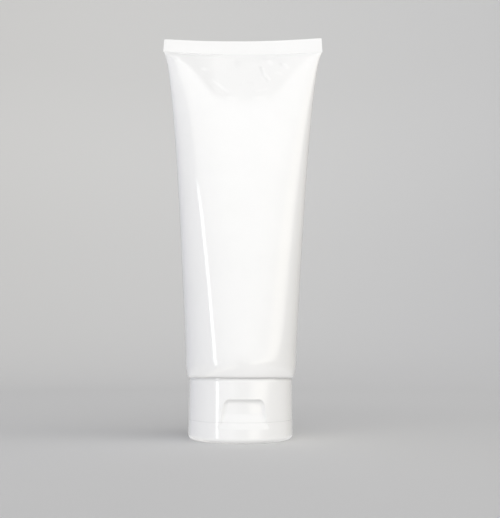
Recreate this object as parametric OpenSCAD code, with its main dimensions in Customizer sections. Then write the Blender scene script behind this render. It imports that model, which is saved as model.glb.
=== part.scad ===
// Cosmetic squeeze tube with a screwed-on flip cap, standing on the lid.
// The crimp runs along X, the thumb scoop faces -Y and the hinge of the lid is at +Y.

/* [Sleeve] */
// Outer diameter of the round sleeve
tube_d = 45; // [44:0.5:56]
// Thickness of the sleeve's film
tube_wall = 0.5; // [0.4:0.05:0.7]
// Height of the whole tube, up to the corners of the crimp
overall_h = 172; // [140:1:200]
// Height of the round stretch between the shoulder and where the flattening starts
round_h = 2.5; // [1:0.5:20]
// How full the sleeve stays towards the crimp, lower is fuller
close_power = 0.62; // [0.5:0.01:0.8]
// How flat the faces are between their rounded sides, lower is flatter
face_power = 0.45; // [0.3:0.05:0.9]

/* [Crimp] */
// Height of the sealed band
crimp_h = 6.8; // [4:0.2:9]
// How far the band's middle lies below its corners
crimp_dip = 1.4; // [0:0.1:3]
// How far the hot band spreads past the film on each side
crimp_spread = 0.3; // [0:0.05:0.6]

/* [Shoulder and neck] */
// Height over which the sleeve rounds in to the shoulder
shoulder_h = 6.6; // [4:0.2:12]
// Radius of the shoulder's lower edge
shoulder_edge = 0.6; // [0.3:0.05:0.8]
// Thickness of the shoulder disc
disc_t = 1.2; // [0.8:0.1:2]
// Height of the disc's rim, which is welded to the inside of the sleeve
rim_h = 4.8; // [3:0.2:6]
// Thickness of that rim
rim_t = 1.0; // [0.7:0.1:1.5]
// Outer diameter of the neck
neck_d = 17.6; // [14:0.2:20]
// Bore of the neck
neck_bore_d = 11; // [9:0.2:12]

/* [Cap base] */
// Outer diameter of the cap
cap_d = 41.4; // [38:0.2:42.6]
// Height of the closed cap, lid and base together
cap_h = 23.6; // [21:0.1:28]
// Wall of the cap base
cap_wall = 1.3; // [1:0.1:1.5]
// Height of the small step around the base's top edge
step_h = 0.7; // [0.3:0.1:1.2]
// Depth of that step
step_depth = 0.2; // [0.1:0.05:0.4]
// Angle at which the screwed-down cap stops
cap_rest_deg = 4.6; // [-10:0.2:10]
// How far the seat for the lid reaches past the parting line
seat_rise = 2.7; // [2:0.1:3.2]
// Width of the flat land around the dish
land_w = 4.4; // [3:0.2:5.5]
// Depth of the dish around the nozzle
dish_depth = 5.6; // [4.5:0.1:6.5]
// Width of the dish's sloping side
dish_slope_w = 4; // [2.5:0.1:4.5]
// Height of the nozzle above the dish's floor
nozzle_h = 4.4; // [3:0.1:4.8]
// Diameter of the nozzle at its foot
nozzle_foot_d = 12; // [10:0.2:14]
// Diameter of the nozzle at its tip
nozzle_tip_d = 7.8; // [7:0.2:9]
// Diameter of the orifice
orifice_d = 5; // [4:0.1:5.4]
// How far the threaded collar stays below the base's top edge
collar_short = 0.8; // [0.4:0.1:2]
// Number of ribs between the collar and the skirt
rib_count = 8; // [4:1:12]
// Thickness of a rib
rib_t = 0.9; // [0.6:0.1:1.5]
// How far the ribs stay below the base's top edge
rib_short = 4; // [2:0.5:7]

/* [Lid] */
// Height of the lid
lid_h = 7.5; // [6.8:0.1:8.5]
// Thickness of the lid's flat end
lid_plate = 1.4; // [1:0.1:1.8]
// Radius of the lid's outer edge
lid_edge = 2; // [1:0.1:2.4]
// Height of the snap bead on the seat
bead_h = 0.9; // [0.6:0.1:1.2]
// How far the snap bead stands out
bead_out = 0.2; // [0.1:0.02:0.22]
// How far the plug reaches into the orifice
plug_reach = 2; // [1:0.1:3]
// Diameter of the plug's foot
plug_foot_d = 6.6; // [5.6:0.2:8]

/* [Thumb scoop] */
// Width of the scoop at its top
scoop_w = 15.4; // [11:0.2:17]
// Extra width of the scoop at its lower end
scoop_flare = 3; // [0:0.5:7]
// Height of the scoop above the parting line
scoop_h = 8.2; // [5:0.2:10]
// Depth of the scoop
scoop_depth = 1.1; // [0.7:0.05:1.3]
// Height above the parting line at which its floor starts to run out
scoop_ramp = 2.8; // [1:0.1:4]
// How far below the parting line its floor has run out
scoop_run = 2.3; // [1:0.1:4]
// Corner radius of the scoop
scoop_corner = 2.7; // [2.2:0.1:3.2]

/* [Hinge] */
// Width of the living hinge
hinge_w = 8; // [5:0.5:8.5]
// Depth of the flat that the hinge lies on
hinge_flat = 0.5; // [0.45:0.05:0.55]
// Height of each hinge pad
hinge_pad_h = 2.7; // [2:0.1:3.2]
// Thickness of each hinge pad
hinge_pad_t = 0.45; // [0.35:0.05:0.5]
// Thickness of the web that bends
web_t = 0.3; // [0.2:0.05:0.4]

/* [Clearances] */
// Gap between the sleeve and the cap
shoulder_gap = 0.1; // [0.05:0.05:1]
// Gap at the parting line
parting_gap = 0.2; // [0.1:0.05:0.4]
// Radial gap between the lid and its seat
lid_fit = 0.45; // [0.4:0.05:0.6]
// Radial gap between the plug and the orifice
plug_fit = 0.15; // [0.12:0.01:0.3]
// Radial gap between the neck and the collar
thread_fit = 0.2; // [0.1:0.05:0.3]
// Gap between the neck's end and the dish's floor
seal_gap = 0.1; // [0.05:0.05:0.3]
// Radial gap between the sleeve and the head that is welded into it
weld_gap = 0.08; // [0.06:0.01:0.2]

/* [Hidden] */
$fn = 96;
overlap = 0.3;

// Small chamfers and fillets
neck_chamfer = 0.5;
edge_chamfer = 0.15;
bore_chamfer = 1;
disc_fillet = 0.6;
collar_chamfer = 0.4;
lid_fillet = 0.8;
plug_chamfer = 0.6;
plug_foot_h = 2;

// Sleeve
sides = 56;
flatten_steps = 16;
arc_steps = 4;
dip_power = 8;
tube_r = tube_d / 2;
cap_r = cap_d / 2;
film_r = tube_r - tube_wall / 2;
sleeve_z = cap_h + shoulder_gap;
shoulder_in = tube_r - cap_r - shoulder_edge;
flatten_z = sleeve_z + shoulder_h + round_h;
crimp_z = overall_h - crimp_h;

// Cap base
base_z = lid_h + parting_gap;
skirt_in = cap_r - cap_wall;
seat_r = cap_r - cap_wall - lid_fit;
seat_in = seat_r - cap_wall;
land_z = base_z - seat_rise;
step_z = base_z + cap_wall;
floor_z = land_z + dish_depth;
neck_z = floor_z + cap_wall + seal_gap;
dish_r = seat_r - land_w;
dish_floor_r = dish_r - dish_slope_w;
collar_in = neck_d / 2 + thread_fit;
collar_r = collar_in + cap_wall;
bead_z = land_z + seat_rise / 2;

// Thumb scoop
scoop_floor_r = cap_r - scoop_depth;
scoop_taper = 0.4;
scoop_margin = 2;
scoop_half_w = (scoop_w + scoop_flare) / 2;
scoop_start = cap_r + 1;
scoop_reach = scoop_start - sqrt(scoop_floor_r * scoop_floor_r - scoop_half_w * scoop_half_w);
scoop_side_sag = cap_r - sqrt(cap_r * cap_r - scoop_w * scoop_w / 4);
backing_t = 1.2;
backing_deg = 56;

// Hinge
flat_y = cap_r - hinge_flat;
pad_y = flat_y + hinge_pad_t;
pad_off = 0.3;
pad_margin = 0.4;
parting_mid = lid_h + parting_gap / 2;
flat_h = 2 * (hinge_pad_h + pad_off + pad_margin);

function arc(cx, cy, r, a0, a1, steps = 6) =
    [for (i = [0:steps]) let(a = a0 + (a1 - a0) * i / steps) [cx + r * cos(a), cy + r * sin(a)]];

// Radius of the sleeve's outside at a height h above its lower edge
function shoulder_r(h) =
    let(s = (shoulder_h - h) / shoulder_h, e = max(0, shoulder_edge - h))
    tube_r - shoulder_in * s * s - shoulder_edge + sqrt(shoulder_edge * shoulder_edge - e * e);

// Half depth of the film at t, from 0 where the flattening starts to 1 at the crimp
function film_depth(t) = max(tube_wall / 2, film_r * pow(1 - t, close_power));

// A flattened tube keeps its girth: what its round ends lose goes into its flat faces
function film_flat(t) = PI / 2 * (film_r - film_depth(t));

// A ring is [height, half length of the flat, radius of the round ends, dip of its middle]
function shoulder_ring(h, inset) = [sleeve_z + h, 0, shoulder_r(h) - inset, 0];
function flatten_ring(t, inset) =
    [flatten_z + (crimp_z - flatten_z) * t, film_flat(t), film_depth(t) + tube_wall / 2 - inset,
     crimp_dip * pow(t, dip_power)];
function crimp_ring(z, spread, half_t) = [z, film_flat(1) + spread, half_t, crimp_dip];

shoulder_steps = concat(
    [for (p = arc(0, shoulder_edge, shoulder_edge, -90, 0, arc_steps)) p[1]],
    [for (i = [1:arc_steps]) shoulder_edge + (shoulder_h - shoulder_edge) * i / arc_steps]);
function close_t(i) = 1 - pow(1 - i / flatten_steps, 2);

outer_rings = concat(
    [for (h = shoulder_steps) shoulder_ring(h, 0)],
    [for (i = [0:flatten_steps - 1]) flatten_ring(close_t(i), 0)],
    [crimp_ring(crimp_z, crimp_spread, tube_wall),
     crimp_ring(overall_h - tube_wall / 2, 0, tube_wall),
     crimp_ring(overall_h, -tube_wall / 2, tube_wall / 2)]);
inner_rings = concat(
    [for (h = shoulder_steps) shoulder_ring(h, tube_wall)],
    [for (i = [0:flatten_steps - 1]) flatten_ring(close_t(i), tube_wall)]);

function ring_points(ring) =
    [for (i = [0:sides - 1])
        let(a = 360 * (i + 0.5) / sides,
            x = ring[1] * sign(cos(a)) * pow(abs(cos(a)), face_power) + ring[2] * cos(a),
            share = x / (ring[1] + ring[2]))
        [x, ring[2] * sin(a), ring[0] - ring[3] * (1 - share * share)]];

function skin_faces(first, count) =
    [for (k = [0:count - 2], i = [0:sides - 1])
        let(j = (i + 1) % sides, a = first + k * sides, b = a + sides)
        each [[a + i, b + i, b + j], [a + i, b + j, a + j]]];
function end_faces(first) =
    [for (i = [0:sides / 2 - 2])
        [first + i, first + sides - 1 - i, first + sides - 2 - i, first + i + 1]];
function flipped(faces) = [for (f = faces) [for (i = [len(f) - 1:-1:0]) f[i]]];

// One piece of film, pressed together at the top and open at the bottom
module sleeve() {
    inner_first = len(outer_rings) * sides;
    faces = concat(
        skin_faces(0, len(outer_rings)),
        end_faces(inner_first - sides),
        flipped(skin_faces(inner_first, len(inner_rings))),
        flipped(end_faces(inner_first + (len(inner_rings) - 1) * sides)),
        [for (i = [0:sides - 1])
            let(j = (i + 1) % sides)
            [i, j, inner_first + j, inner_first + i]]);
    color("#f3f4f5")
        polyhedron([for (ring = concat(outer_rings, inner_rings)) each ring_points(ring)], faces);
}

// A point of the welded rim at a height h above the sleeve's lower edge
function rim_point(h, inset = 0) = [shoulder_r(h) - tube_wall - weld_gap - inset, sleeve_z + h];

// Shoulder disc, its welded rim and the neck, one moulding
module head() {
    neck_r = neck_d / 2;
    bore_r = neck_bore_d / 2;
    disc_top = sleeve_z + disc_t;
    corner_h = disc_t + disc_fillet;
    outer_steps = concat([for (h = shoulder_steps) if (h < rim_h) h], rim_h);
    inner_steps = concat(
        [for (i = [len(outer_steps) - 1:-1:0]) if (outer_steps[i] > corner_h) outer_steps[i]], corner_h);
    color("#eef0f2")
        rotate_extrude()
            polygon(concat(
                [[bore_r, neck_z],
                 [neck_r - neck_chamfer, neck_z],
                 [neck_r, neck_z + neck_chamfer],
                 [neck_r, sleeve_z]],
                [for (h = outer_steps) rim_point(h)],
                [for (h = inner_steps) rim_point(h, rim_t)],
                [[rim_point(corner_h, rim_t)[0] - disc_fillet, disc_top],
                 [bore_r + bore_chamfer, disc_top],
                 [bore_r, disc_top - bore_chamfer]]));
}

// The rounded pocket that a thumb reaches into, cut from the base and the lid alike
module thumb_scoop() {
    run_z = base_z - scoop_run;
    ramp_z = base_z + scoop_ramp;
    top_z = base_z + scoop_h;
    slope = scoop_depth / (ramp_z - run_z);
    low_z = run_z - scoop_margin;
    end_z = low_z - scoop_corner - scoop_margin;
    outer_r = scoop_corner + scoop_taper * (scoop_start - cap_r);
    top_x = scoop_w / 2 - scoop_corner + scoop_taper * scoop_side_sag;
    difference() {
        hull()
            for (side = [-1, 1], corner = [[top_x, top_z - scoop_corner], [top_x + scoop_flare / 2, low_z]])
                translate([side * corner[0], -scoop_start, corner[1]])
                    rotate([-90, 0, 0])
                        cylinder(h = scoop_reach, r1 = outer_r,
                                 r2 = outer_r - scoop_taper * scoop_reach, $fn = 32);
        rotate_extrude()
            polygon([[0, end_z],
                     [cap_r + slope * (run_z - end_z), end_z],
                     [scoop_floor_r, ramp_z],
                     [scoop_floor_r, top_z + scoop_margin],
                     [0, top_z + scoop_margin]]);
    }
}

// The flat behind which the hinge pads stand
module hinge_flat_cut() {
    translate([-cap_r, flat_y, parting_mid - flat_h / 2])
        cube([2 * cap_r, cap_r, flat_h]);
}

module hinge_pad(z) {
    translate([-hinge_w / 2, flat_y - overlap, z])
        cube([hinge_w, hinge_pad_t + overlap, hinge_pad_h]);
}

// Thicker wall behind the scoop and behind the hinge
module wall_backing(facing) {
    rotate([0, 0, facing - backing_deg / 2])
        rotate_extrude(angle = backing_deg)
            translate([skirt_in - backing_t, step_z - overlap])
                square([backing_t + overlap, scoop_h + overlap]);
}

module ribs() {
    rib_top = cap_h - rib_short;
    for (i = [0:rib_count - 1])
        rotate([0, 0, 360 * (i + 0.5) / rib_count])
            rotate([90, 0, 0])
                translate([0, 0, -rib_t / 2])
                    linear_extrude(rib_t)
                        polygon([[collar_r - overlap, floor_z + cap_wall - overlap],
                                 [dish_floor_r + overlap, floor_z + cap_wall - overlap],
                                 [dish_r + overlap, land_z + cap_wall - overlap],
                                 [seat_in + overlap, land_z + cap_wall - overlap],
                                 [seat_in + overlap, step_z - overlap],
                                 [skirt_in + overlap, step_z - overlap],
                                 [skirt_in + overlap, rib_top],
                                 [collar_r - overlap, rib_top]]);
}

// Skirt, seat, dish, nozzle and threaded collar in one section
module base_section() {
    orifice_r = orifice_d / 2;
    polygon(
        [[orifice_r, floor_z - nozzle_h],
         [nozzle_tip_d / 2, floor_z - nozzle_h],
         [nozzle_foot_d / 2, floor_z],
         [dish_floor_r, floor_z],
         [dish_r, land_z],
         [seat_r, land_z],
         [seat_r, bead_z - bead_h / 2],
         [seat_r + bead_out, bead_z - bead_h / 6],
         [seat_r + bead_out, bead_z + bead_h / 6],
         [seat_r, bead_z + bead_h / 2],
         [seat_r, base_z],
         [cap_r, base_z],
         [cap_r, cap_h - step_h - step_depth],
         [cap_r - step_depth, cap_h - step_h],
         [cap_r - step_depth, cap_h - edge_chamfer],
         [cap_r - step_depth - edge_chamfer, cap_h],
         [skirt_in, cap_h],
         [skirt_in, step_z],
         [seat_in, step_z],
         [seat_in, land_z + cap_wall],
         [dish_r + overlap, land_z + cap_wall],
         [dish_floor_r + overlap, floor_z + cap_wall],
         [collar_r, floor_z + cap_wall],
         [collar_r, cap_h - collar_short],
         [collar_in + collar_chamfer, cap_h - collar_short],
         [collar_in, cap_h - collar_short - collar_chamfer],
         [collar_in, floor_z + cap_wall],
         [orifice_r, floor_z + cap_wall]]);
}

module cap_base() {
    color("#f6f6f5")
        rotate([0, 0, cap_rest_deg])
            union() {
                difference() {
                    union() {
                        rotate_extrude() base_section();
                        ribs();
                        wall_backing(-90);
                        wall_backing(90);
                    }
                    thumb_scoop();
                    hinge_flat_cut();
                }
                hinge_pad(parting_mid + pad_off);
            }
}

module lid_section() {
    groove_r = skirt_in + bead_out / 2;
    polygon(concat(
        [[0, 0], [cap_r - lid_edge, 0]],
        arc(cap_r - lid_edge, lid_edge, lid_edge, -75, 0),
        [[cap_r, lid_h],
         [skirt_in, lid_h],
         [skirt_in, bead_z + bead_h / 2],
         [groove_r, bead_z + bead_h / 6],
         [groove_r, bead_z - bead_h / 6],
         [skirt_in, bead_z - bead_h / 2],
         [skirt_in, lid_plate + lid_fillet],
         [skirt_in - lid_fillet, lid_plate],
         [0, lid_plate]]));
}

// Solid pin that closes the orifice
module plug() {
    plug_r = orifice_d / 2 - plug_fit;
    tip_z = floor_z - nozzle_h + plug_reach;
    rotate_extrude()
        polygon([[0, lid_plate - overlap],
                 [plug_foot_d / 2, lid_plate - overlap],
                 [plug_foot_d / 2, lid_plate],
                 [plug_r, lid_plate + plug_foot_h],
                 [plug_r, tip_z - plug_chamfer],
                 [plug_r - plug_chamfer, tip_z],
                 [0, tip_z]]);
}

module cap_lid() {
    color("#f6f6f5")
        rotate([0, 0, cap_rest_deg])
            union() {
                difference() {
                    rotate_extrude() lid_section();
                    thumb_scoop();
                    hinge_flat_cut();
                }
                plug();
                hinge_pad(parting_mid - pad_off - hinge_pad_h);
            }
}

// Thin web between the two pads, drawn closed
module hinge_strap() {
    color("#f6f6f5")
        rotate([0, 0, cap_rest_deg])
            translate([-hinge_w / 2, pad_y - web_t / 2, parting_mid - pad_off])
                cube([hinge_w, web_t, 2 * pad_off]);
}

sleeve();
head();
cap_base();
cap_lid();
hinge_strap();
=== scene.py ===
import math
import bpy
import bmesh
import numpy as np
from mathutils import Matrix, Vector, noise


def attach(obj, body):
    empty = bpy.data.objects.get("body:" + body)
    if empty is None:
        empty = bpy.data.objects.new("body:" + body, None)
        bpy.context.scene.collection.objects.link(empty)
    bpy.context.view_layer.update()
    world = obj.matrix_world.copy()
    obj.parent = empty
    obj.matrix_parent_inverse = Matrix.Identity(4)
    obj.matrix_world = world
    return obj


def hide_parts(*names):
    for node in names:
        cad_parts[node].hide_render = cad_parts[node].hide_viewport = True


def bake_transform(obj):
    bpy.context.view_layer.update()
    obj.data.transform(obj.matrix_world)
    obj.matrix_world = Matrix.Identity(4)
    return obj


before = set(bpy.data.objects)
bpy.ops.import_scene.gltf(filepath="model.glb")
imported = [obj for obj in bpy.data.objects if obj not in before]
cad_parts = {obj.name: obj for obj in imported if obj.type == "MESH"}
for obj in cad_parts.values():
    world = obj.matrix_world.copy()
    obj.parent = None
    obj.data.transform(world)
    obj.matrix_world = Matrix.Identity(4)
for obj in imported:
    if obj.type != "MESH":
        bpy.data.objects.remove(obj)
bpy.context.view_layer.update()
mm = 0.001

# The camera stands low in front of the tube and looks up a little
cameraLook = {
    "place": (3.55 * mm, -252.3 * mm, 28.35 * mm),
    "tiltUp": 0.172,  # radians
    "roll": 0.004,
    "lens": 42.66,
    "sensor": 36,  # along the picture's long side
    "nearest": 0.01,
}


def makeCamera(look):
    ahead = Vector((0, math.cos(look["tiltUp"]), math.sin(look["tiltUp"])))
    level = Vector((1, 0, 0))
    upward = level.cross(ahead)
    side = level * math.cos(look["roll"]) + upward * math.sin(look["roll"])
    turn = Matrix((side, side.cross(ahead), -ahead)).transposed().to_4x4()
    camera = bpy.data.objects.new("camera", bpy.data.cameras.new("camera"))
    camera.data.lens = look["lens"]
    camera.data.sensor_width = look["sensor"]
    camera.data.clip_start = look["nearest"]
    camera.matrix_world = Matrix.Translation(look["place"]) @ turn
    bpy.context.scene.collection.objects.link(camera)
    bpy.context.scene.camera = camera


makeCamera(cameraLook)
print("camera in place")


# A shader socket that takes part in plain expressions
class Wire:
    def __init__(self, tree, socket=None):
        self.tree, self.socket = tree, socket

    # Adds a node: its settings first, then the values or links of its sockets
    def add(self, kind, settings=None, sockets=None, out=0):
        made = self.tree.nodes.new(kind)
        for key, value in (settings or {}).items():
            setattr(made, key, value)
        for key, value in (sockets or {}).items():
            if isinstance(value, Wire):
                self.tree.links.new(value.socket, made.inputs[key])
            else:
                made.inputs[key].default_value = value
        return Wire(self.tree, made.outputs[out])

    def math(self, operation, *values):
        return self.add("ShaderNodeMath", {"operation": operation},
                        dict(enumerate(values)))

    def __add__(self, other):
        return self.math("ADD", self, other)

    def __radd__(self, other):
        return self.math("ADD", other, self)

    def __sub__(self, other):
        return self.math("SUBTRACT", self, other)

    def __rsub__(self, other):
        return self.math("SUBTRACT", other, self)

    def __mul__(self, other):
        return self.math("MULTIPLY", self, other)

    def __rmul__(self, other):
        return self.math("MULTIPLY", other, self)

    # 0 below low, 1 above high, smooth between them
    def rise(self, low, high):
        return self.add("ShaderNodeMapRange", {"interpolation_type": "SMOOTHSTEP"},
                        {"Value": self, "From Min": low, "From Max": high})

    # 1 between low and high, 0 outside, with an edge of its own softness at each end
    def band(self, low, high, softLow, softHigh):
        return (self.rise(low - softLow, low + softLow)
                * (1 - self.rise(high - softHigh, high + softHigh)))

    # first where self is 0, second where it is 1
    def mix(self, first, second):
        return self.add("ShaderNodeMix", {"data_type": "RGBA"},
                        {"Factor": self, 6: first, 7: second}, out=2)


# Each finish; a groove is (height, half width) in metres of a band of painted shade, the painted
# highlight lines are in millimetres
plasticLooks = {
    "sleeveFilm": {
        "white": (0.86, 0.86, 0.86, 1), "shade": (0.845, 0.845, 0.845, 1),
        "gloss": 0.09, "glossSpread": 0.03, "grain": 1400, "grainDepth": 1.2e-6,
        "drawnLines": 1.1, "ior": 1.54, "coat": 0.7, "seed": 1.3,
        # painted shade: the seam colour darkens a band where the sleeve meets the cap
        "groove": (0.0236, 0.0007), "seamShade": (0.72, 0.72, 0.72, 1),
        # painted highlight: the colour laid along the creases listed below
        "creaseHighlight": (1, 1, 1, 1),
        # painted highlights along the front film's creases: two ends as (x, z), half width,
        # strength
        "highlightLines": [
            ((8.7, 155.0), (9.0, 153.4), 0.7, 0.25),
            ((9.0, 153.4), (9.9, 151.2), 0.75, 0.4),
            ((9.9, 151.2), (11.6, 149.4), 0.8, 0.3),
            ((11.8, 158.9), (12.5, 157.9), 1.5, 0.18),
            ((18.3, 157.2), (19.1, 156.0), 1.4, 0.18),
            ((14.6, 153.0), (16.4, 152.4), 1.3, 0.15),
            ((-17.3, 155.0), (-16.4, 154.7), 1.1, 0.18),
            ((-12.4, 149.4), (-8.6, 145.2), 1.1, 0.12),
            ((6.0, 143.4), (10.2, 144.3), 0.8, 0.12),
        ],
    },
    "capPlastic": {
        "white": (0.86, 0.86, 0.86, 1), "shade": (0.845, 0.845, 0.845, 1),
        "gloss": 0.11, "glossSpread": 0.03, "grain": 2200, "grainDepth": 0.9e-6,
        "drawnLines": 0, "ior": 1.5, "coat": 0.7, "seed": 4.1,
        # painted shade where the cap meets the sleeve, as on the sleeve
        "groove": (0.0236, 0.0007), "seamShade": (0.72, 0.72, 0.72, 1), "highlightLines": None,
    },
    "neckPlastic": {
        "white": (0.80, 0.805, 0.81, 1), "shade": (0.77, 0.775, 0.78, 1),
        "gloss": 0.3, "glossSpread": 0.05, "grain": 1500, "grainDepth": 2e-6,
        "drawnLines": 0, "ior": 1.53, "coat": 0, "seed": 7.7, "groove": None, "highlightLines": None,
    },
}
# What all the finishes share
finishLook = {
    "coatGloss": 0.05, "cloudScale": 55, "cloudDetail": 3, "cloudRough": 0.6,
    "shadeFrom": 0.35, "shadeTo": 0.7, "grainDetail": 2, "grainGloss": 0.02,
    "lineScale": 420, "lineStretch": 0.02, "grainInLines": 0.6,
    # shares of the painted seam shade and of the painted crease highlights
    "seamShadeShare": 0.9, "highlightShare": 0.9, "relief": 0.6,
}


# How strongly the painted highlight along the front film's creases shows at a place, from 0 to 1
def paintCreaseHighlights(place, highlightLines):
    split = place.add("ShaderNodeSeparateXYZ", None, {0: place})
    x, y, z = (Wire(place.tree, split.socket.node.outputs[k]) * (1 / mm) for k in range(3))
    creaseHighlight = 0
    for (x0, z0), (x1, z1), width, strength in highlightLines:
        length = math.hypot(x1 - x0, z1 - z0)
        alongX, alongZ = (x1 - x0) / length, (z1 - z0) / length
        along = (x - x0) * alongX + (z - z0) * alongZ - length / 2
        aside = (x - x0) * alongZ - (z - z0) * alongX
        over = place.math("MAXIMUM", place.math("ABSOLUTE", along) - length / 2, 0)
        mark = (1 - (aside * aside + over * over).rise(0, width ** 2)) * strength
        creaseHighlight = place.math("MAXIMUM", mark, creaseHighlight)
    return creaseHighlight * (1 - y.rise(-1, 0))


def makePlastic(name, look, shared):
    made = bpy.data.materials.new(name)
    made.use_nodes = True
    tree = made.node_tree
    shader = tree.nodes["Principled BSDF"]
    shader.inputs["IOR"].default_value = look["ior"]
    shader.inputs["Coat Weight"].default_value = look["coat"]
    shader.inputs["Coat Roughness"].default_value = shared["coatGloss"]
    base = Wire(tree)
    place = base.add("ShaderNodeTexCoord", out=3)
    clouds = base.add("ShaderNodeTexNoise", {"noise_dimensions": "4D"},
                      {"Vector": place, "W": look["seed"], "Scale": shared["cloudScale"],
                       "Detail": shared["cloudDetail"], "Roughness": shared["cloudRough"]})
    fine = base.add("ShaderNodeTexNoise", {"noise_dimensions": "4D"},
                    {"Vector": place, "W": look["seed"] + 5, "Scale": look["grain"],
                     "Detail": shared["grainDetail"]})
    height = fine
    if look["drawnLines"]:  # faint lines along the length, left by the drawing of the film
        alongTube = base.add("ShaderNodeVectorMath", {"operation": "MULTIPLY"},
                             {0: place, 1: (1, 1, shared["lineStretch"])})
        lines = base.add("ShaderNodeTexNoise", {"noise_dimensions": "4D"},
                         {"Vector": alongTube, "W": look["seed"] + 9,
                          "Scale": shared["lineScale"], "Detail": shared["grainDetail"]})
        height = fine * shared["grainInLines"] + lines * look["drawnLines"]
    tint = clouds.rise(shared["shadeFrom"], shared["shadeTo"]).mix(look["white"], look["shade"])
    if look["groove"]:  # painted shade: a darker band where the sleeve meets the cap
        middle, half = look["groove"]
        placeZ = base.add("ShaderNodeSeparateXYZ", None, {0: place}, out=2)
        seamShade = placeZ.band(middle - half, middle + half, half / 2, half)
        tint = (seamShade * shared["seamShadeShare"]).mix(tint, look["seamShade"])
    # painted highlights along the front film's creases
    if look["highlightLines"]:
        paintedHighlight = paintCreaseHighlights(place, look["highlightLines"])
        tint = (paintedHighlight * shared["highlightShare"]).mix(tint, look["creaseHighlight"])
    rough = (look["gloss"] + (clouds - 0.5) * look["glossSpread"]
             + (fine - 0.5) * shared["grainGloss"])
    relief = base.add("ShaderNodeBump", None, {"Strength": shared["relief"],
                                               "Distance": look["grainDepth"],
                                               "Height": height})
    for socket, wire in (("Base Color", tint), ("Roughness", rough), ("Normal", relief)):
        tree.links.new(wire.socket, shader.inputs[socket])
    return made


plastics = {name: makePlastic(name, look, finishLook) for name, look in plasticLooks.items()}
print("plastics made")


def smooth(value, low, high):
    share = np.clip((np.asarray(value, float) - low) / (high - low), 0, 1)
    return share * share * (3 - 2 * share)


# Faces between neighbouring rows of points; both directions may close on themselves
def skinFaces(rows, columns, first=0, closeRows=False, flip=False):
    faces = []
    for row in range(rows if closeRows else rows - 1):
        here, above = first + row * columns, first + (row + 1) % rows * columns
        for column in range(columns):
            after = (column + 1) % columns
            face = (here + column, here + after, above + after, above + column)
            faces.append(face[::-1] if flip else face)
    return faces


# One object from rows of points in millimetres; points that coincide are joined
def makePiece(name, points, faces, material, sharpFrom=34, turn=0):
    mesh = bpy.data.meshes.new(name)
    mesh.from_pydata((np.asarray(points, float) * mm).tolist(), [], faces)
    work = bmesh.new()
    work.from_mesh(mesh)
    bmesh.ops.remove_doubles(work, verts=work.verts, dist=2e-7)
    bmesh.ops.dissolve_degenerate(work, edges=work.edges, dist=1e-8)
    bmesh.ops.recalc_face_normals(work, faces=work.faces)
    bmesh.ops.rotate(work, verts=work.verts,
                     matrix=Matrix.Rotation(math.radians(turn), 3, "Z"))
    work.to_mesh(mesh)
    work.free()
    mesh.materials.append(plastics[material])
    mesh.shade_smooth()
    mesh.set_sharp_from_angle(angle=math.radians(sharpFrom))
    made = bpy.data.objects.new(name, mesh)
    bpy.context.scene.collection.objects.link(made)
    print(name, len(mesh.polygons), "faces")
    return made


# Rounds the corners of a closed outline; a corner is (radius, height, fillet)
def rounded(corners, steps=5):
    outline = []
    for i, (x, y, fillet) in enumerate(corners):
        if fillet == 0:
            outline.append((x, y))
            continue
        here = Vector((x, y))
        back = (Vector(corners[i - 1][:2]) - here).normalized()
        on = (Vector(corners[(i + 1) % len(corners)][:2]) - here).normalized()
        half = back.angle(on) / 2
        middle = here + (back + on).normalized() * (fillet / math.sin(half))
        start = here + back * (fillet / math.tan(half)) - middle
        sweep = start.angle_signed(here + on * (fillet / math.tan(half)) - middle)
        for step in range(steps + 1):
            turned = start.copy()
            turned.rotate(Matrix.Rotation(-sweep * step / steps, 2))
            outline.append(tuple(middle + turned))
    return outline


# Puts extra points on the long stretches of an outline, where gap(point) asks for them
def divided(outline, gap, closed):
    dense = []
    for i, here in enumerate(outline):
        dense.append(here)
        if i + 1 == len(outline) and not closed:
            break
        on = outline[(i + 1) % len(outline)]
        length = math.hypot(on[0] - here[0], on[1] - here[1])
        parts = max(1, math.ceil(length / gap((here[0] + on[0]) / 2, (here[1] + on[1]) / 2)))
        dense += [(here[0] + (on[0] - here[0]) * k / parts,
                   here[1] + (on[1] - here[1]) * k / parts) for k in range(1, parts)]
    return dense


# Turns an outline about Z; shape(angle, radius, height) may move the radius
def revolve(outline, angles, shape, closed):
    radius = np.array([p[0] for p in outline])[:, None] + 0 * angles
    height = np.array([p[1] for p in outline])[:, None] + 0 * angles
    radius = shape(angles[None, :] + 0 * radius, radius, height)
    points = np.stack([radius * np.cos(angles), radius * np.sin(angles), height], -1)
    return points.reshape(-1, 3), skinFaces(len(outline), len(angles), closeRows=closed)


# Height of a helical thread, from 0 at its root to 1 on its crest
def threadHeight(angle, height, look):
    runOut, flank = 0.25, (0.25, 0.65)  # shares of a turn and of half the pitch
    turns = (height - look["start"]) / look["pitch"]
    phase = np.abs((turns - angle / (2 * math.pi)) % 1 - 0.5) * 2
    ends = smooth(turns, 0, runOut) * (1 - smooth(turns, look["turns"] - runOut, look["turns"]))
    return smooth(1 - phase, *flank) * ends


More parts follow.
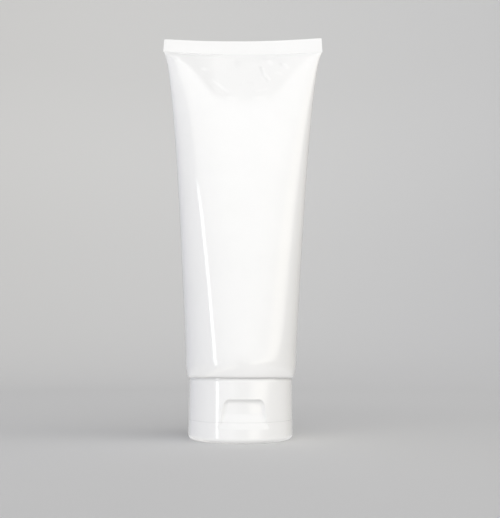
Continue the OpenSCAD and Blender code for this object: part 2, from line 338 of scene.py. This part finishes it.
# Millimetres, apart from powers, shares and counts
sleeveLook = {
    "diameter": 44.92, "wall": 0.5, "bottom": 23.67, "top": 171.99,
    "shoulder": 6.6, "shoulderIn": 1.2, "shoulderEdge": 0.6, "roundStretch": 2.5,
    "closePower": 0.62, "facePower": 0.45, "faceSharper": 0.28, "sharperFrom": 0.965,
    "crimp": 6.8, "crimpDip": 1.4, "dipPower": 8, "crimpSpread": 0.3, "crimpSlant": 0.8,
    "crimpSoft": 4,
    "unevenness": 0.003, "waveWidth": 28, "waveHeight": 38,
    "slackFrom": (36, 60), "slackTo": (150, 165),
    "outerRows": 130, "innerRows": 60, "innerEnd": 0.9985, "perQuarter": 60,
    "pucker": 1.0, "puckerEdge": 1.5,
    # small creases under the crimp: two ends as (x, z), half width, height
    "creases": [
        ((-11.6, 149.0), (-6.2, 144.2), 0.65, 0.07),
        ((-13.2, 147.8), (-7.6, 142.6), 0.75, -0.05),
        ((8.4, 156.0), (9.4, 152.8), 0.6, 0.12),
        ((9.4, 152.8), (11.4, 149.4), 0.6, 0.12),
        ((7.2, 155.2), (8.2, 152.2), 0.6, -0.10),
        ((8.2, 152.2), (10.2, 148.6), 0.6, -0.10),
        ((12.5, 159.0), (15.5, 158.0), 2.2, -0.15),
        ((10.0, 160.2), (11.4, 159.4), 0.8, 0.14),
        ((17.2, 157.6), (19.4, 156.0), 0.8, 0.14),
        ((15.0, 153.2), (16.4, 152.2), 0.7, 0.12),
        ((-17.0, 155.2), (-15.4, 154.6), 0.7, 0.10),
        ((-33.0, 163.2), (-29.5, 160.0), 0.55, 0.22),
        ((-5.6, 141.2), (-3.4, 140.6), 0.8, 0.10),
        ((6.4, 141.0), (8.8, 141.0), 0.8, 0.10),
        ((1.6, 147.4), (3.6, 146.8), 1.0, -0.10),
        ((-0.5, 158.0), (6.5, 158.0), 2.6, 0.22),
    ],
    # where the front film bulges right under the crimp: from x, to x, soft edge, depth
    "folds": [(-31, -9.5, 4, 1.15), (-6, 9, 4, -0.7), (15, 31.5, 4, 0.6)],
    "foldLength": 2.4, "foldReach": 7, "foldEdge": 0.4,
}


# How much deeper than the plain law the film lies on the side that faces -Y
def puckerDepth(x, z, look):
    depth = np.zeros_like(x)
    for (x0, z0), (x1, z1), width, height in look["creases"]:
        length = math.hypot(x1 - x0, z1 - z0)
        along = ((x - x0) * (x1 - x0) + (z - z0) * (z1 - z0)) / length
        aside = ((x - x0) * (z1 - z0) - (z - z0) * (x1 - x0)) / length
        over = np.maximum(0, np.abs(along - length / 2) - length / 2)
        depth += height * np.exp(-(aside * aside + over * over) / width ** 2)
    return depth * look["pucker"]


# How far the front film stands out, at a distance under the crimp
def foldBulge(x, under, look):
    bulge = np.zeros_like(x)
    for left, right, soft, depth in look["folds"]:
        bulge += (depth * smooth(x, left - soft, left + soft)
                  * (1 - smooth(x, right - soft, right + soft)))
    under = np.maximum(under, 0)
    return bulge * (1 - np.exp(-under / look["foldLength"])) * np.exp(-under / look["foldReach"])


def makeSleeve(look):
    tubeR, wall = look["diameter"] / 2, look["wall"]
    filmR = tubeR - wall / 2
    flattenZ = look["bottom"] + look["shoulder"] + look["roundStretch"]
    crimpZ = look["top"] - look["crimp"]

    def shoulderR(h):
        edge, share = look["shoulderEdge"], (look["shoulder"] - h) / look["shoulder"]
        low = max(0, edge - h)
        return tubeR - look["shoulderIn"] * share ** 2 - edge + math.sqrt(edge ** 2 - low ** 2)

    # Half the distance between the films; it meets the crimp with a slope, not with a kink
    def filmDepth(t):
        under, soft = (crimpZ - flattenZ) * (1 - t), look["crimpSoft"]
        if under >= soft:
            return filmR * (1 - t) ** look["closePower"]
        depth = filmR * (soft / (crimpZ - flattenZ)) ** look["closePower"]
        slope = look["closePower"] * depth / soft
        bend = (depth - wall / 2 - slope * soft) / soft ** 2
        return wall / 2 + (slope + 2 * bend * soft) * under - bend * under ** 2

    def filmFlat(t):
        return math.pi / 2 * (filmR - filmDepth(t))

    # A row is (height, half flat, end radius, dip, face power, share of the band)
    def shoulderRows(edgeSteps, curveSteps, inset):
        edge = look["shoulderEdge"]
        heights = [edge - edge * math.cos(math.pi / 2 * k / edgeSteps)
                   for k in range(edgeSteps)]
        heights += list(np.linspace(edge, look["shoulder"], curveSteps))
        return [(look["bottom"] + h, 0, shoulderR(h) - inset, 0, look["facePower"], 0)
                for h in heights]

    def flattenRows(steps, inset, last):
        rows = []
        for k in range(steps):
            t = 1 - (1 - k / steps) ** 2
            sharper = look["faceSharper"] * smooth(t, look["sharperFrom"], 1)
            power = look["facePower"] - sharper
            if t <= last:
                rows.append((flattenZ + (crimpZ - flattenZ) * t, filmFlat(t),
                             max(0, filmDepth(t) + wall / 2 - inset),
                             look["crimpDip"] * t ** look["dipPower"], power, 0))
        return rows

    # The flat band; its rows are (height above its foot, spread, half thickness)
    def bandRows():
        flat, dip, power = filmFlat(1), look["crimpDip"], look["facePower"] - look["faceSharper"]
        steps = [(0, -0.02, wall), (0.06, 0.2, wall), (0.16, 0.3, wall)]
        steps += [(h, look["crimpSpread"] * (1 - h / look["crimp"]), wall)
                  for h in np.linspace(0.6, look["crimp"] - 0.3, 9)]
        steps += [(look["crimp"] - 0.12, -0.02, wall - 0.03),
                  (look["crimp"] - 0.03, -0.08, wall - 0.1),
                  (look["crimp"], -0.18, wall - 0.2), (look["crimp"], -0.3, 0)]
        return [(crimpZ + h, flat + spread, half, dip, power, max(h / look["crimp"], 1e-4))
                for h, spread, half in steps]

    # Points of one row, evenly spaced along its outline, quarter by quarter
    def rowPoints(row, perQuarter):
        z, flat, radius, dip, power, bandShare = row
        angle = np.linspace(0, math.pi / 2, 600)
        x = flat * np.abs(np.cos(angle)) ** power + radius * np.cos(angle)
        x[-1] = 0
        y = radius * np.sin(angle)
        run = np.concatenate([[0], np.cumsum(np.hypot(np.diff(x), np.diff(y)))])
        evenly = np.interp(np.linspace(0, run[-1], perQuarter + 1)[:-1], run, angle)
        share = np.concatenate([evenly, math.pi - evenly[::-1][:-1], math.pi + evenly,
                                2 * math.pi - evenly[::-1][:-1]])
        quarter = [0, math.pi / 2, math.pi, 3 * math.pi / 2]
        share = np.sort(np.unique(np.concatenate([share, quarter]).round(9)))
        c = np.cos(share)
        c[np.abs(c) < 1e-9] = 0
        x = flat * np.sign(c) * np.abs(c) ** power + radius * c
        y = radius * np.sin(share)
        reach = flat + radius
        height = z - dip * (1 - (x / reach) ** 2)
        height = height - look["crimpSlant"] / 2 * bandShare * (1 - x / reach)
        y = y - smooth(-y, 0, look["puckerEdge"]) * puckerDepth(x, height, look)
        wide, high = look["waveWidth"], look["waveHeight"]
        wave = np.array([noise.noise(Vector((px / wide, 3 + py / wide, pz / high)))
                         for px, py, pz in zip(x, y, height)])
        if bandShare == 0:
            y = y - smooth(-y, 0, look["foldEdge"]) * foldBulge(x, crimpZ - z, look)
        slack = smooth(height, *look["slackFrom"]) * (1 - smooth(height, *look["slackTo"]))
        y = y * (1 + look["unevenness"] * wave * slack)
        return np.stack([x, y, height], -1)

    outerRows = shoulderRows(7, 14, 0) + flattenRows(look["outerRows"], 0, 1) + bandRows()
    innerRows = shoulderRows(4, 8, wall)
    innerRows += flattenRows(look["innerRows"], wall, look["innerEnd"])
    closing = list(innerRows[-1])  # the inside ends in a line
    closing[0], closing[2] = closing[0] + 0.2, 0
    innerRows.append(tuple(closing))
    outer = np.concatenate([rowPoints(row, look["perQuarter"]) for row in outerRows])
    inner = np.concatenate([rowPoints(row, look["perQuarter"]) for row in innerRows])
    columns = len(outer) // len(outerRows)
    faces = skinFaces(len(outerRows), columns)
    faces += skinFaces(len(innerRows), columns, first=len(outer), flip=True)
    faces += [(len(outer) + i, len(outer) + (i + 1) % columns, (i + 1) % columns, i)
              for i in range(columns)]
    return makePiece("tubeSleeve", np.concatenate([outer, inner]), faces, "sleeveFilm",
                     sharpFrom=40)


sleeve = makeSleeve(sleeveLook)


headLook = {
    "neckTop": 12.0, "rootR": 8.1, "crestR": 8.8, "boreR": 5.5, "discZ": 23.7, "discT": 1.2,
    "rimTop": 28.5, "rimT": 1.0, "rimGap": 0.58, "slices": 144,
    "rimSteps": (0.0, 0.04, 0.15, 0.3, 0.6, 1.0, 1.8, 2.6, 3.6),
    "neckStep": 0.35, "otherStep": 3,
    "thread": {"start": 13.4, "pitch": 3.6, "turns": 2.2},
}


# The rim lies just inside the sleeve's rounded shoulder
def makeHead(look, sleeveSizes):
    edge, shoulder = sleeveSizes["shoulderEdge"], sleeveSizes["shoulder"]
    tubeR, shoulderIn = sleeveSizes["diameter"] / 2, sleeveSizes["shoulderIn"]

    def rimR(h):
        low = max(0, edge - h)
        share = (shoulder - h) / shoulder
        sleeveR = tubeR - shoulderIn * share ** 2 - edge + math.sqrt(edge ** 2 - low ** 2)
        return sleeveR - look["rimGap"]

    bottom, inside = look["discZ"], look["discZ"] + look["discT"]
    rimH, steps = look["rimTop"] - bottom, look["rimSteps"]
    outline = [(look["boreR"], look["neckTop"], 0.3), (look["rootR"], look["neckTop"], 0.4),
               (look["rootR"], bottom, 0.5)]
    outline += [(rimR(h), bottom + h, 0) for h in steps]
    outline += [(rimR(rimH), bottom + rimH, 0.2),
                (rimR(rimH) - look["rimT"], bottom + rimH, 0.2)]
    outline += [(rimR(h) - look["rimT"], bottom + h, 0) for h in steps[:-3:-1]]
    outline += [(rimR(look["discT"]) - look["rimT"], inside, 0.6),
                (look["boreR"], inside, 1.0)]

    def gap(r, z):
        onNeck = r < look["rootR"] + 0.2 and z < bottom - 0.6
        return look["neckStep"] if onNeck else look["otherStep"]

    def shape(angle, radius, height):
        onNeck = (np.abs(radius - look["rootR"]) < 0.01)
        thread = threadHeight(angle, height, look["thread"])
        return radius + onNeck * (look["crestR"] - look["rootR"]) * thread

    angles = np.linspace(0, 2 * math.pi, look["slices"] + 1)[:-1]
    points, faces = revolve(divided(rounded(outline), gap, True), angles, shape, True)
    return makePiece("tubeHead", points, faces, "neckPlastic")


head = makeHead(headLook, sleeveLook)


capLook = {
    "radius": 20.7, "wallFrom": (19.7, 20.2), "turn": 4.6,
    "top": 23.65, "stepH": 0.65, "stepDepth": 0.2,
    "skirtInR": 19.4, "lidTop": 7.585, "baseBottom": 7.61, "partingEdge": 0.035,
    # base: nozzle, dish, seat for the lid, collar with its thread, ribs
    "orificeR": 2.5, "tipR": 3.9, "footR": 6.0, "tipZ": 6.2, "dishZ": 10.6, "dishR": 10.55,
    "seatInR": 14.55, "seatZ": 5.0, "seatR": 18.95, "beadR": 19.12,
    "seatBackR": 17.65, "seatBackZ": 6.3, "seatTopZ": 9.0, "dishBack": 0.3, "deckZ": 11.9,
    "collarR": 10.3, "collarInR": 9.0, "collarEnd": 22.6, "collarChamfer": 0.4,
    "threadCut": 0.5, "thread": {"start": 13.2, "pitch": 3.6, "turns": 2.3},
    "ribs": 8, "ribT": 0.9, "ribTop": 19.4,
    # thicker wall behind the scoop
    "backingR": 18.2, "backingTop": 17.2, "backingHalf": 28,
    # lid: flat end, rounded edge, groove for the bead, plug
    "lidRings": (0, 9, 17.4, 18.2), "lidEdge": 2, "lidEdgeFrom": -75, "lidSteerZ": 3,
    "lidFloorZ": 1.4, "grooveR": 19.5,
    "plugR": 2.35, "plugFootR": 3.3, "plugFootZ": 3.4, "plugTop": 8.2,
    "beadZ": (5.9, 6.2, 6.5, 6.8),
    # columns round the cap, in degrees: from, to, step
    "columns": [(-124, -56, 0.45), (-56, 62, 2.5), (62, 118, 1.0), (118, 236, 2.5)],
    "wallStep": 0.16, "upperWallStep": 0.6, "threadStep": 0.35, "otherStep": 4,
}
# Outline of the scoop as seen from the front, and how its walls run in
scoopLook = {
    "top": 16.1, "halfTop": 7.7, "halfGrow": 0.12, "growFrom": 14.8,
    "flare": 0.9, "flareFrom": 8.6, "flareHeight": 3,
    "depth": 1.1, "topRun": 2.7, "sideRun": 2.2, "steep": 4, "edge": 0.05,
    "rampTop": 10.7, "rampEnd": 5.2,
}
# The hinge at the back: a flat pocket with a pad on each side of the web
hingeLook = {
    "flatY": 20.2, "pocketLow": 4.2, "pocketHigh": 11.0, "pocketEdge": 0.08,
    "padOut": 0.45, "padIn": 0.2, "padHalf": 4, "padFillet": 0.12,
    "lidPad": (4.6, 7.3), "basePad": (7.9, 10.6), "web": 0.3, "webSteps": 12,
}


# Depth of the thumb scoop at a place on the cap's wall
def scoopDepth(angle, height, look):
    x = capLook["radius"] * np.cos(angle)
    halfWide = look["halfTop"] + look["halfGrow"] * np.maximum(0, look["growFrom"] - height)
    flareEnd = look["flareFrom"] - look["flareHeight"]
    halfWide += look["flare"] * (1 - smooth(height, flareEnd, look["flareFrom"]))
    fromTop = np.clip((look["top"] - height) / look["topRun"], 0, 1)
    fromSide = np.clip((halfWide - np.abs(x)) / look["sideRun"], 0, 1)
    inside = np.clip(1 - np.hypot(1 - fromTop, 1 - fromSide), 0, 1)
    inside = inside * inside / (inside + look["edge"])  # a soft edge where the wall turns in
    wall = 1 - (1 - np.minimum(inside, 1)) ** look["steep"]
    ramp = np.clip((height - look["rampEnd"]) / (look["rampTop"] - look["rampEnd"]), 0, 1)
    ramp = ramp * ramp * (3 - 2 * ramp) * 0.5 + ramp * 0.5
    return look["depth"] * wall * ramp * (np.sin(angle) < 0)


# The cap's outer wall with its scoop at the front and its hinge flat at the back
def capWall(angle, radius, height):
    onWall = smooth(radius, *capLook["wallFrom"])
    moved = radius - onWall * scoopDepth(angle, height, scoopLook)
    low, high, edge = (hingeLook[key] for key in ("pocketLow", "pocketHigh", "pocketEdge"))
    pocket = smooth(height, low - edge, low + edge) * (1 - smooth(height, high - edge, high + edge))
    flatR = hingeLook["flatY"] / np.maximum(np.sin(angle), 0.5)
    atBack = (np.sin(angle) > 0.9) * (flatR < moved) * onWall * pocket
    return moved + atBack * (flatR - moved)


# Closer columns at the scoop, at the hinge and at the wall's backing
def capAngles():
    parts = [np.linspace(start, end, round((end - start) / step) + 1)[:-1]
             for start, end, step in capLook["columns"]]
    return np.radians(np.concatenate(parts))


# Closer rows on the outer wall up to the scoop's top, and on the collar's thread
def wallGap(radius, height):
    if radius > capLook["wallFrom"][1] - 0.1:
        return capLook["wallStep"] if height < scoopLook["top"] + 0.3 else capLook["upperWallStep"]
    onThread = abs(radius - capLook["collarInR"]) < 0.1 and height < 22
    return capLook["threadStep"] if onThread else capLook["otherStep"]


# A small block whose edges are rounded, from its lowest to its highest corner
def padPoints(low, high, fillet, first):
    centre, half = np.add(low, high) / 2, np.subtract(high, low) / 2
    work = bmesh.new()
    bmesh.ops.create_cube(work, size=2)
    for vert in work.verts:
        vert.co = Vector(centre + np.array(vert.co) * half)
    bmesh.ops.bevel(work, geom=list(work.edges), offset=fillet, segments=3, profile=0.5,
                    affect="EDGES")
    work.verts.index_update()
    points = [tuple(vert.co) for vert in work.verts]
    faces = [tuple(first + vert.index for vert in face.verts) for face in work.faces]
    work.free()
    return points, faces


# One hinge pad between two heights
def hingePad(look, heights, first):
    return padPoints((-look["padHalf"], look["flatY"] - look["padIn"], heights[0]),
                     (look["padHalf"], look["flatY"] + look["padOut"], heights[1]),
                     look["padFillet"], first)


# One upright rib between the collar and the skirt
def capRib(look, angle, first):
    deck, seat, skirt = look["collarR"] - 0.1, look["seatBackR"] + 0.05, look["skirtInR"] + 0.1
    outline = [(deck, look["deckZ"] - 0.2), (look["dishR"] + 0.25, look["deckZ"] - 0.2),
               (look["seatInR"] + 0.25, look["seatBackZ"] - 0.2), (seat, look["seatBackZ"] - 0.2),
               (seat, look["seatTopZ"] - 0.2), (skirt, look["seatTopZ"] - 0.2),
               (skirt, look["ribTop"]), (deck, look["ribTop"])]
    count = len(outline)
    out = np.array([math.cos(angle), math.sin(angle), 0])
    side = np.array([-math.sin(angle), math.cos(angle), 0])
    points = [out * r + side * s * look["ribT"] / 2 + np.array([0, 0, z])
              for s in (-1, 1) for r, z in outline]
    faces = [tuple(range(first, first + count)),
             tuple(range(first + 2 * count - 1, first + count - 1, -1))]
    faces += [(first + (k + 1) % count, first + k, first + count + k,
               first + count + (k + 1) % count) for k in range(count)]
    return points, faces


def makeCapBase(look):
    radius, innerR, seatR = look["radius"], look["skirtInR"], look["seatR"]
    rimR, rimZ = radius - look["stepDepth"], look["top"] - look["stepH"]
    beadR, beadZ = look["beadR"], look["beadZ"]
    collarEnd, chamfer = look["collarEnd"], look["collarChamfer"]
    outline = rounded([
        (look["orificeR"], look["tipZ"], 0.25), (look["tipR"], look["tipZ"], 0.6),
        (look["footR"], look["dishZ"], 1.2), (look["dishR"], look["dishZ"], 1.4),
        (look["seatInR"], look["seatZ"], 0.9), (seatR, look["seatZ"], 0.25),
        (seatR, beadZ[0], 0), (beadR, beadZ[1], 0.1), (beadR, beadZ[2], 0.1), (seatR, beadZ[3], 0),
        (seatR, look["baseBottom"], 0.12), (radius, look["baseBottom"], look["partingEdge"]),
        (radius, rimZ - 0.45, 0.15), (rimR, rimZ + 0.15, 0.2),
        (rimR, look["top"], 0.05), (innerR, look["top"], 0.25),
        (innerR, look["backingTop"] + 0.04, 0), (innerR, look["backingTop"] - 0.04, 0),
        (innerR, look["seatTopZ"], 0), (look["seatBackR"], look["seatTopZ"], 0.3),
        (look["seatBackR"], look["seatBackZ"], 0.4),
        (look["seatInR"] + look["dishBack"], look["seatBackZ"], 0.5),
        (look["dishR"] + look["dishBack"], look["deckZ"], 0), (look["collarR"], look["deckZ"], 0),
        (look["collarR"], collarEnd, 0.15), (look["collarInR"] + chamfer, collarEnd, 0),
        (look["collarInR"], collarEnd - chamfer, 0), (look["collarInR"], look["deckZ"], 0.2),
        (look["orificeR"], look["deckZ"], 0.2)])
    outline = divided(outline, wallGap, True)

    def shape(angle, r, z):
        moved = capWall(angle, r, z)
        facing = np.degrees(np.arccos(np.clip(np.abs(np.sin(angle)), 0, 1)))
        backed = ((np.abs(r - innerR) < 0.01) & (z < look["backingTop"])
                  & (z > look["seatTopZ"] - 0.1) & (facing < look["backingHalf"]))
        moved = np.where(backed, look["backingR"], moved)
        cut = (np.abs(r - look["collarInR"]) < 0.01) * look["threadCut"]
        return moved + cut * threadHeight(angle, z, look["thread"])

    points, faces = revolve(outline, capAngles(), shape, True)
    more, moreFaces = hingePad(hingeLook, hingeLook["basePad"], len(points))
    points, faces = np.concatenate([points, more]), faces + moreFaces
    for i in range(look["ribs"]):
        more, moreFaces = capRib(look, math.radians(360 * (i + 0.5) / look["ribs"]), len(points))
        points, faces = np.concatenate([points, more]), faces + moreFaces
    return makePiece("capBase", points, faces, "capPlastic", turn=look["turn"])


capBase = makeCapBase(capLook)


def makeCapLid(look):
    radius, innerR, edge, top = look["radius"], look["skirtInR"], look["lidEdge"], look["lidTop"]
    beadZ = look["beadZ"]
    outline = [(ring, 0) for ring in look["lidRings"]]
    outline += [(radius - edge + edge * math.cos(a), edge + edge * math.sin(a))
                for a in np.radians(np.linspace(look["lidEdgeFrom"], 0, 12))]
    # rounded() takes this open run as closed. Its first corner, left out again by the [1:],
    # steers the corner at the plug's tip too, which flares to 3.1 mm and doesn't taper.
    outline += rounded([
        (radius, look["lidSteerZ"], 0), (radius, top, look["partingEdge"]), (innerR, top, 0.1),
        (innerR, beadZ[3], 0), (look["grooveR"], beadZ[2], 0), (look["grooveR"], beadZ[1], 0),
        (innerR, beadZ[0], 0), (innerR, look["lidFloorZ"], 0.8),
        (look["plugFootR"], look["lidFloorZ"], 0.6), (look["plugR"], look["plugFootZ"], 0.4),
        (look["plugR"], look["plugTop"], 0.6)])[1:]
    outline.append((0, look["plugTop"]))
    outline = divided(outline, wallGap, False)
    points, faces = revolve(outline, capAngles(), capWall, False)
    more, moreFaces = hingePad(hingeLook, hingeLook["lidPad"], len(points))
    return makePiece("capLid", np.concatenate([points, more]), faces + moreFaces, "capPlastic",
                     turn=look["turn"])


capLid = makeCapLid(capLook)


# The thin web between the pads, a flat strip while the cap is closed
def makeStrap(look):
    outY = look["flatY"] + look["padOut"] + look["web"] / 2
    inY, low, high = outY - look["web"], look["lidPad"][1], look["basePad"][0]
    columns = rows = look["webSteps"] + 1
    x = np.linspace(-look["padHalf"], look["padHalf"], columns)
    points = []
    for z in np.linspace(low, high, rows):
        points += [(px, inY, z) for px in x] + [(px, outY, z) for px in x[::-1]]
    count = 2 * columns
    faces = skinFaces(rows, count)
    for first in (0, (rows - 1) * count):
        faces += [(first + k, first + k + 1, first + count - 2 - k, first + count - 1 - k)
                  for k in range(columns - 1)]
    return makePiece("hingeWeb", points, faces, "capPlastic", turn=capLook["turn"])


strap = makeStrap(hingeLook)


# The pale stage, in metres
stageLook = {
    "floorRings": (0.0005, 0.1, 0.3), "floorR": 0.5, "wallR": 1.25, "wallTop": 1.3,
    "sides": 128, "sweepSteps": 40,
    "floorGrey": (0.73, 0.73, 0.73, 1), "wallGrey": (0.58, 0.58, 0.58, 1),
    "greyFrom": 0.1, "greyTo": 1.4,  # squares of the distance from the tube
    "roughness": 0.9, "specular": 0.1,
}


def makeStage(look):
    def ring(name, profile):
        sides = look["sides"]
        points = [(r * math.cos(2 * math.pi * k / sides), r * math.sin(2 * math.pi * k / sides), z)
                  for r, z in profile for k in range(sides)]
        mesh = bpy.data.meshes.new(name)
        mesh.from_pydata(points, [], [face[::-1] for face in skinFaces(len(profile), sides)])
        mesh.shade_smooth()
        made = bpy.data.objects.new(name, mesh)
        bpy.context.scene.collection.objects.link(made)
        return made

    paint = bpy.data.materials.new("paleFloor")
    paint.use_nodes = True
    shader = paint.node_tree.nodes["Principled BSDF"]
    base = Wire(paint.node_tree)
    place = base.add("ShaderNodeTexCoord", out=3)
    split = base.add("ShaderNodeSeparateXYZ", None, {0: place})
    x, y = (Wire(paint.node_tree, split.socket.node.outputs[k]) for k in range(2))
    away = (x * x + y * y).rise(look["greyFrom"], look["greyTo"])
    tint = away.mix(look["floorGrey"], look["wallGrey"])
    paint.node_tree.links.new(tint.socket, shader.inputs["Base Color"])
    shader.inputs["Roughness"].default_value = look["roughness"]
    shader.inputs["Specular IOR Level"].default_value = look["specular"]
    curve = look["wallR"] - look["floorR"]
    bend = [(look["floorR"] + curve * math.sin(a), curve * (1 - math.cos(a)))
            for a in np.linspace(0, math.pi / 2, look["sweepSteps"])]
    floor = ring("floor", [(r, 0) for r in (*look["floorRings"], look["floorR"])])
    sweep = ring("sweep", bend + [(look["wallR"], look["wallTop"])])
    for made in (floor, sweep):  # seen by the camera alone, so the tube keeps its light
        made.data.materials.append(paint)
        made.visible_glossy = False
        made.visible_diffuse = False
        made.visible_shadow = False


# Radiance of the room by direction: az in degrees from the front (-Y) towards +X, el in
# degrees above the horizon; a pair named Soft holds the half widths of two soft edges
roomLook = {
    "strength": 0.94,
    "leftWall": (0.49, 0.50, 0.57, 1), "leftNear": (0.66, 0.67, 0.74, 1),
    "rightWall": (0.40, 0.375, 0.34, 1), "back": (0.5, 0.5, 0.5, 1),
    "leftNearAz": (-115, -65), "rightWallAz": (-20, 20), "backAz": (120, 165),
    "ceiling": (0.92, 0.92, 0.915, 1), "ceilingLeft": (0.16, 0.16, 0.16, 1),
    "ceilingBack": (0.12, 0.12, 0.12, 1), "ceilingEl": (38, 52),
    "ceilingLeftX": (-0.14, 0), "ceilingBackY": (0.04, 0.32),
    "below": (0.95, 0.95, 0.945, 1), "belowEl": (-16, -4),
    "under": (0.3, 0.3, 0.3, 1), "underEl": (-60, -36),
    # the broad bright panel in front
    "front": (1.24, 1.24, 1.235, 1), "frontTop": (1.58, 1.58, 1.575, 1), "frontEl": (10, 40),
    "panelAz": (-52, 87), "panelAzSoft": (1, 12), "panelEl": (-12, 46.4), "panelElSoft": (4, 1.2),
    "panelCut": 11, "panelCutEl": (22, 42), "panelArch": 0.25, "archFrom": 12,
    "lowSlant": 4.5, "lowSlantFrom": 4,
    # the warm window at the right, the dull spot behind the camera, the narrow white strip
    "warm": (1.9, 1.82, 1.68, 1), "warmAz": (58, 87), "warmAzSoft": (9, 12), "warmEl": (22, 38),
    "spot": (0.70, 0.70, 0.695, 1), "spotAz": (-8, 20), "spotAzSoft": (5, 5),
    "spotEl": (-25, 0), "spotElSoft": (4, 2),
    "strip": (4.6, 4.65, 4.7, 1), "stripAz": (-56.5, -50.5), "stripAzSoft": (0.7, 0.5),
    "stripEl": (-11, 23), "stripElSoft": (1.5, 1.5), "stripBend": 3, "stripBendEl": (-3, 2),
}


def paintRoom(look):
    world = bpy.data.worlds.new("room")
    bpy.context.scene.world = world
    world.use_nodes = True
    tree = world.node_tree
    base = Wire(tree)
    toward = base.add("ShaderNodeTexCoord", out=0)
    split = base.add("ShaderNodeSeparateXYZ", None, {0: toward})
    x, y, z = (Wire(tree, split.socket.node.outputs[k]) for k in range(3))
    degree = 180 / math.pi
    az = base.math("ARCTAN2", x, 0 - y) * degree
    el = base.math("ARCSINE", z) * degree
    sideways = base.math("ABSOLUTE", az)

    left = az.rise(*look["leftNearAz"]).mix(look["leftWall"], look["leftNear"])
    side = az.rise(*look["rightWallAz"]).mix(left, look["rightWall"])
    walls = sideways.rise(*look["backAz"]).mix(side, look["back"])
    ceiling = x.rise(*look["ceilingLeftX"]).mix(look["ceilingLeft"], look["ceiling"])
    ceiling = y.rise(*look["ceilingBackY"]).mix(ceiling, look["ceilingBack"])
    room = el.rise(*look["ceilingEl"]).mix(walls, ceiling)
    below = el.rise(*look["underEl"]).mix(look["under"], look["below"])
    room = el.rise(*look["belowEl"]).mix(below, room)

    bent = az - look["stripBend"] * (1 - el.rise(*look["stripBendEl"]))
    leftAz = bent - el.rise(*look["panelCutEl"]) * look["panelCut"]
    rightAz = az + base.math("MAXIMUM", look["lowSlantFrom"] - el, 0) * look["lowSlant"]
    arched = el - base.math("MAXIMUM", sideways - look["archFrom"], 0) * look["panelArch"]
    leftEnd, rightEnd = look["panelAz"]
    leftSoft, rightSoft = look["panelAzSoft"]
    foot, top = look["panelEl"]
    footSoft, topSoft = look["panelElSoft"]
    panel = leftAz.rise(leftEnd - leftSoft, leftEnd + leftSoft)
    panel = panel * (1 - rightAz.rise(rightEnd - rightSoft, rightEnd + rightSoft))
    panel = panel * el.rise(foot - footSoft, foot + footSoft)
    panel = panel * (1 - arched.rise(top - topSoft, top + topSoft))
    warm = rightAz.band(*look["warmAz"], *look["warmAzSoft"]) * (1 - el.rise(*look["warmEl"]))
    spot = (az.band(*look["spotAz"], *look["spotAzSoft"])
            * el.band(*look["spotEl"], *look["spotElSoft"]))
    strip = (bent.band(*look["stripAz"], *look["stripAzSoft"])
             * el.band(*look["stripEl"], *look["stripElSoft"]))
    room = panel.mix(room, el.rise(*look["frontEl"]).mix(look["front"], look["frontTop"]))
    for share, name in ((warm, "warm"), (spot, "spot"), (strip, "strip")):
        room = share.mix(room, look[name])
    shader = tree.nodes["Background"]
    shader.inputs["Strength"].default_value = look["strength"]
    tree.links.new(room.socket, shader.inputs["Color"])


# Lamps that light the tube without showing in its gloss
softboxLook = {
    "aim": (0, 0, 0.12),
    "boxes": {  # place, side and power
        "overCamera": ((0, -0.3, 0.33), 0.2, 0.075),
        "behind": ((0.1, 0.45, 0.4), 0.3, 0.11),
    },
}


def makeSoftboxes(look):
    for name, (place, side, power) in look["boxes"].items():
        lamp = bpy.data.lights.new(name, "AREA")
        lamp.energy, lamp.size = power, side
        made = bpy.data.objects.new(name, lamp)
        facing = (Vector(look["aim"]) - Vector(place)).to_track_quat("-Z", "Y")
        made.matrix_world = Matrix.Translation(place) @ facing.to_matrix().to_4x4()
        made.visible_glossy = False
        bpy.context.scene.collection.objects.link(made)


makeStage(stageLook)
paintRoom(roomLook)
makeSoftboxes(softboxLook)
bpy.context.scene.view_settings.view_transform = "Standard"
print("stage and light made")

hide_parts("sleeve")
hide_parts("head")
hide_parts("cap_base")
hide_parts("cap_lid")
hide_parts("hinge_strap")
for piece, body, slot in ((sleeve, "tube", "sleeve_film"), (head, "tube", "neck_plastic"),
                          (capBase, "cap_base", "cap_plastic"), (capLid, "cap_lid", "cap_plastic")):
    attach(piece, body)
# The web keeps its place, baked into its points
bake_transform(strap)
